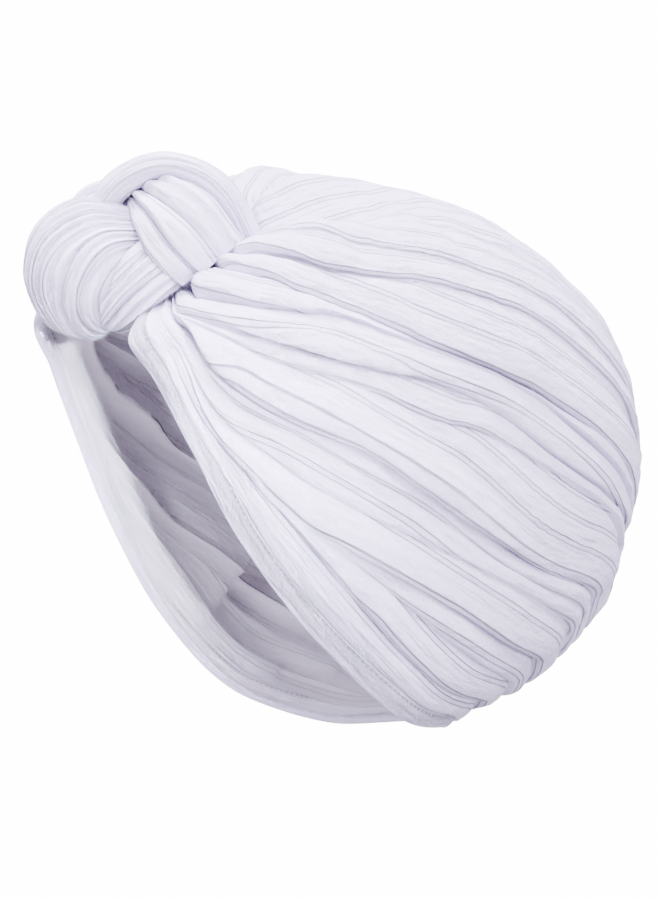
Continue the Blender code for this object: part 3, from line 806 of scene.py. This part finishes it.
def crown_seat():
    """The front of the crown with no pleats as a closed body, which the bands are cut back by."""
    along = np.linspace(0, SEAT_END, SEAT_ROWS)
    u, share = np.meshgrid(along, np.linspace(0, 1, SEAT_COLUMNS), indexing="ij")
    v = climbed(u, share)
    sides = []
    for side in ("left", "right"):
        normal, _ = crown_slopes(u, v, side)
        front = plain_crown(u, v, side) + normal * SEAT_RISE * ease(u / PUFF_START)[..., None]
        under = front[:, 0] - normal[:, 0] * (HEM_WALL + SEAT_RISE)
        face = np.concatenate((under[:, None], front), 1)
        face[..., 0] = np.maximum(face[..., 0], SEAM)
        sides.append(face)
    left, right = sides[0], sides[1] * (-1, 1, 1)
    rows, columns = left.shape[:2]
    count = rows * columns
    heart = 2 * count
    i, j = np.meshgrid(np.arange(rows - 1), np.arange(columns - 1), indexing="ij")
    corner = (i * columns + j).ravel()
    skin = np.concatenate((
        np.stack((corner, corner + 1, corner + columns + 1), 1),
        np.stack((corner, corner + columns + 1, corner + columns), 1)))
    crest = np.arange(rows - 1) * columns + columns - 1
    nose = np.arange(columns - 1)
    join = np.concatenate((
        np.stack((crest, crest + count, crest + columns + count), 1),
        np.stack((crest, crest + columns + count, crest + columns), 1),
        np.stack((nose, nose + count, nose + 1 + count), 1),
        np.stack((nose, nose + 1 + count, nose + 1), 1)))
    rim = np.concatenate((np.arange(rows) * columns, (rows - 1) * columns + np.arange(1, columns)))
    rim = np.concatenate((rim, rim[::-1] + count))
    cone = np.stack((rim, np.full(len(rim), heart), np.roll(rim, -1)), 1)
    points = np.concatenate((left.reshape(-1, 3), right.reshape(-1, 3), (SEAT_HEART,)))
    faces = np.concatenate((skin, skin[:, ::-1] + count, join, cone))
    seat = mesh_piece("crown_seat", points, faces, np.zeros((faces.size, 2)), knot_jersey)
    tidy_normals(seat)
    return seat


def tidy_normals(piece):
    """Turn every face of a closed piece outwards."""
    shape = bmesh.new()
    shape.from_mesh(piece.data)
    bmesh.ops.recalc_face_normals(shape, faces=shape.faces)
    shape.to_mesh(piece.data)
    shape.free()


def cut_back(piece, guides):
    """Take each guide's space out of a piece, and keep the result as its mesh."""
    for guide in guides:
        cut = piece.modifiers.new("cut", "BOOLEAN")
        cut.operation = "DIFFERENCE"
        cut.solver = "EXACT"
        cut.object = guide
    bpy.context.view_layer.update()
    shown = piece.evaluated_get(bpy.context.evaluated_depsgraph_get())
    mesh = bpy.data.meshes.new_from_object(shown)
    piece.modifiers.clear()
    piece.data = mesh
    mesh.set_sharp_from_angle(angle=CREASE_ANGLE)


knot_jersey = ribbed_jersey(
    "knot_jersey", (0.90, 0.865, 0.99, 1), (0.77, 0.735, 0.87, 1), (0.28, 0.26, 0.33, 1))

guides = [crown_seat()]
faces = band_faces()
for name, band in BANDS.items():
    points, pattern = band_points(band["sections"], band["valleys"], band["stripes"])
    wound = mesh_piece(name.replace("knot_", "wound_"), points, faces, pattern[faces], knot_jersey)
    tidy_normals(wound)
    cut_back(wound, guides)
    points, pattern = band_points(band["sections"], band["valleys"], band["stripes"], BAND_GAP)
    guides.append(mesh_piece(name + "_guide", points, faces, pattern[faces], knot_jersey))
    tidy_normals(guides[-1])
    if name != "tucked_neck":
        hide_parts(name)
    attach(wound, "root")
for guide in guides:
    bpy.data.objects.remove(guide, do_unlink=True)

# THE STUDIO
# The hat is held up as on a head. Far under it lies a plain pale floor that sweeps up into a
# round backdrop. Broad soft lamps light the hat, and a narrow one the inside of the far hem.
FLOOR_LEVEL = -1.4
FLOOR_PAINT = (0.95, 0.95, 0.95, 1)
FLOOR_ROUGHNESS = 0.9
FLOOR_GLOW = 14.0          # it shows as pure white, and lights nothing
SURROUND = (0.88, 0.83, 1.0, 1)
SURROUND_STRENGTH = 0.34
LAMP_COLOUR = (0.81, 0.77, 1.0)
HAT_MIDDLE = (0, 0, -0.1)
FAR_HEM = (-0.03, -0.09, -0.13)
SWEEP_SIDES = 96
# The sweep's profile in metres: how far out, and how high above the floor.
SWEEP = ((0.01, 0.0), (1.5, 0.0), (2.2, 0.0), (2.6, 0.08), (2.88, 0.3), (3.0, 0.7), (3.0, 2.6),
         (2.7, 3.4), (1.9, 4.0), (0.9, 4.25), (0.01, 4.3))

sweep = np.array(SWEEP)
turn = np.linspace(0, 2 * np.pi, SWEEP_SIDES, endpoint=False)
ring = np.stack((sweep[:, :1] * np.cos(turn), sweep[:, :1] * np.sin(turn),
                 np.repeat(sweep[:, 1:] + FLOOR_LEVEL, SWEEP_SIDES, 1)), -1)
i, j = np.meshgrid(np.arange(len(SWEEP) - 1), np.arange(SWEEP_SIDES), indexing="ij")
j_next = (j + 1) % SWEEP_SIDES
low, high = i * SWEEP_SIDES, (i + 1) * SWEEP_SIDES
sweep_faces = np.stack((low + j, low + j_next, high + j_next, high + j), -1).reshape(-1, 4)
studio_white = bpy.data.materials.new("studio_white")
studio_white.use_nodes = True
paint = studio_white.node_tree.nodes["Principled BSDF"]
paint.inputs["Base Color"].default_value = FLOOR_PAINT
paint.inputs["Roughness"].default_value = FLOOR_ROUGHNESS
paint.inputs["Emission Color"].default_value = (1, 1, 1, 1)
paint.inputs["Emission Strength"].default_value = FLOOR_GLOW
no_pattern = np.zeros((sweep_faces.size, 2))
floor = mesh_piece("floor", ring.reshape(-1, 3), sweep_faces, no_pattern, studio_white)
floor.visible_diffuse = False
floor.visible_glossy = False
floor.visible_shadow = False

world = bpy.data.worlds.new("surround")
bpy.context.scene.world = world
world.use_nodes = True
world.node_tree.nodes["Background"].inputs["Color"].default_value = SURROUND
world.node_tree.nodes["Background"].inputs["Strength"].default_value = SURROUND_STRENGTH


def look_from(thing, place, aim):
    """Put a camera or lamp at its place and turn its -Z axis to the aim, with +Y up."""
    place, aim = np.array(place, float), np.array(aim, float)
    back = (place - aim) / np.linalg.norm(place - aim)
    right = np.cross((0, 0, 1), back)
    right = right / np.linalg.norm(right)
    turned = np.eye(4)
    turned[:3] = np.stack((right, np.cross(back, right), back, place), 1)
    thing.matrix_world = Matrix(turned.tolist())


def soft_lamp(name, place, aim, size, power, spread=180):
    """A square lamp of a size in metres and a power in watts, whose light spreads by degrees."""
    data = bpy.data.lights.new(name, "AREA")
    data.shape = "SQUARE"
    data.size = size
    data.energy = power
    data.spread = np.radians(spread)
    data.color = LAMP_COLOUR
    lamp = bpy.data.objects.new(name, data)
    bpy.context.scene.collection.objects.link(lamp)
    look_from(lamp, place, aim)


soft_lamp("key", (1.35, -0.05, 1.2), HAT_MIDDLE, 0.7, 92)
soft_lamp("front", (0.75, -1.65, 0.6), HAT_MIDDLE, 0.8, 32)
soft_lamp("top", (0.0, -0.5, 1.9), HAT_MIDDLE, 0.9, 255)
soft_lamp("side", (1.84, -0.45, -0.1), FAR_HEM, 0.1, 0.44, spread=8)
soft_lamp("back", (1.5, 1.0, -0.2), HAT_MIDDLE, 0.8, 42)
soft_lamp("bounce", (0.9, -0.8, -1.3), HAT_MIDDLE, 1.0, 24)

# The photograph's camera: a 100 mm lens on a frame 36 mm high, level with the hat's middle.
CAMERA_TURN = np.radians(60)
CAMERA_DISTANCE = 1.075
CAMERA_LEVEL = -0.1106
lens = bpy.data.cameras.new("camera")
lens.lens = 100
lens.sensor_fit = "VERTICAL"
lens.sensor_height = 36
camera = bpy.data.objects.new("camera", lens)
bpy.context.scene.collection.objects.link(camera)
spot = np.array((np.sin(CAMERA_TURN), -np.cos(CAMERA_TURN), 0)) * CAMERA_DISTANCE
spot[2] = CAMERA_LEVEL
look_from(camera, spot, (0, 0, CAMERA_LEVEL))
bpy.context.scene.camera = camera
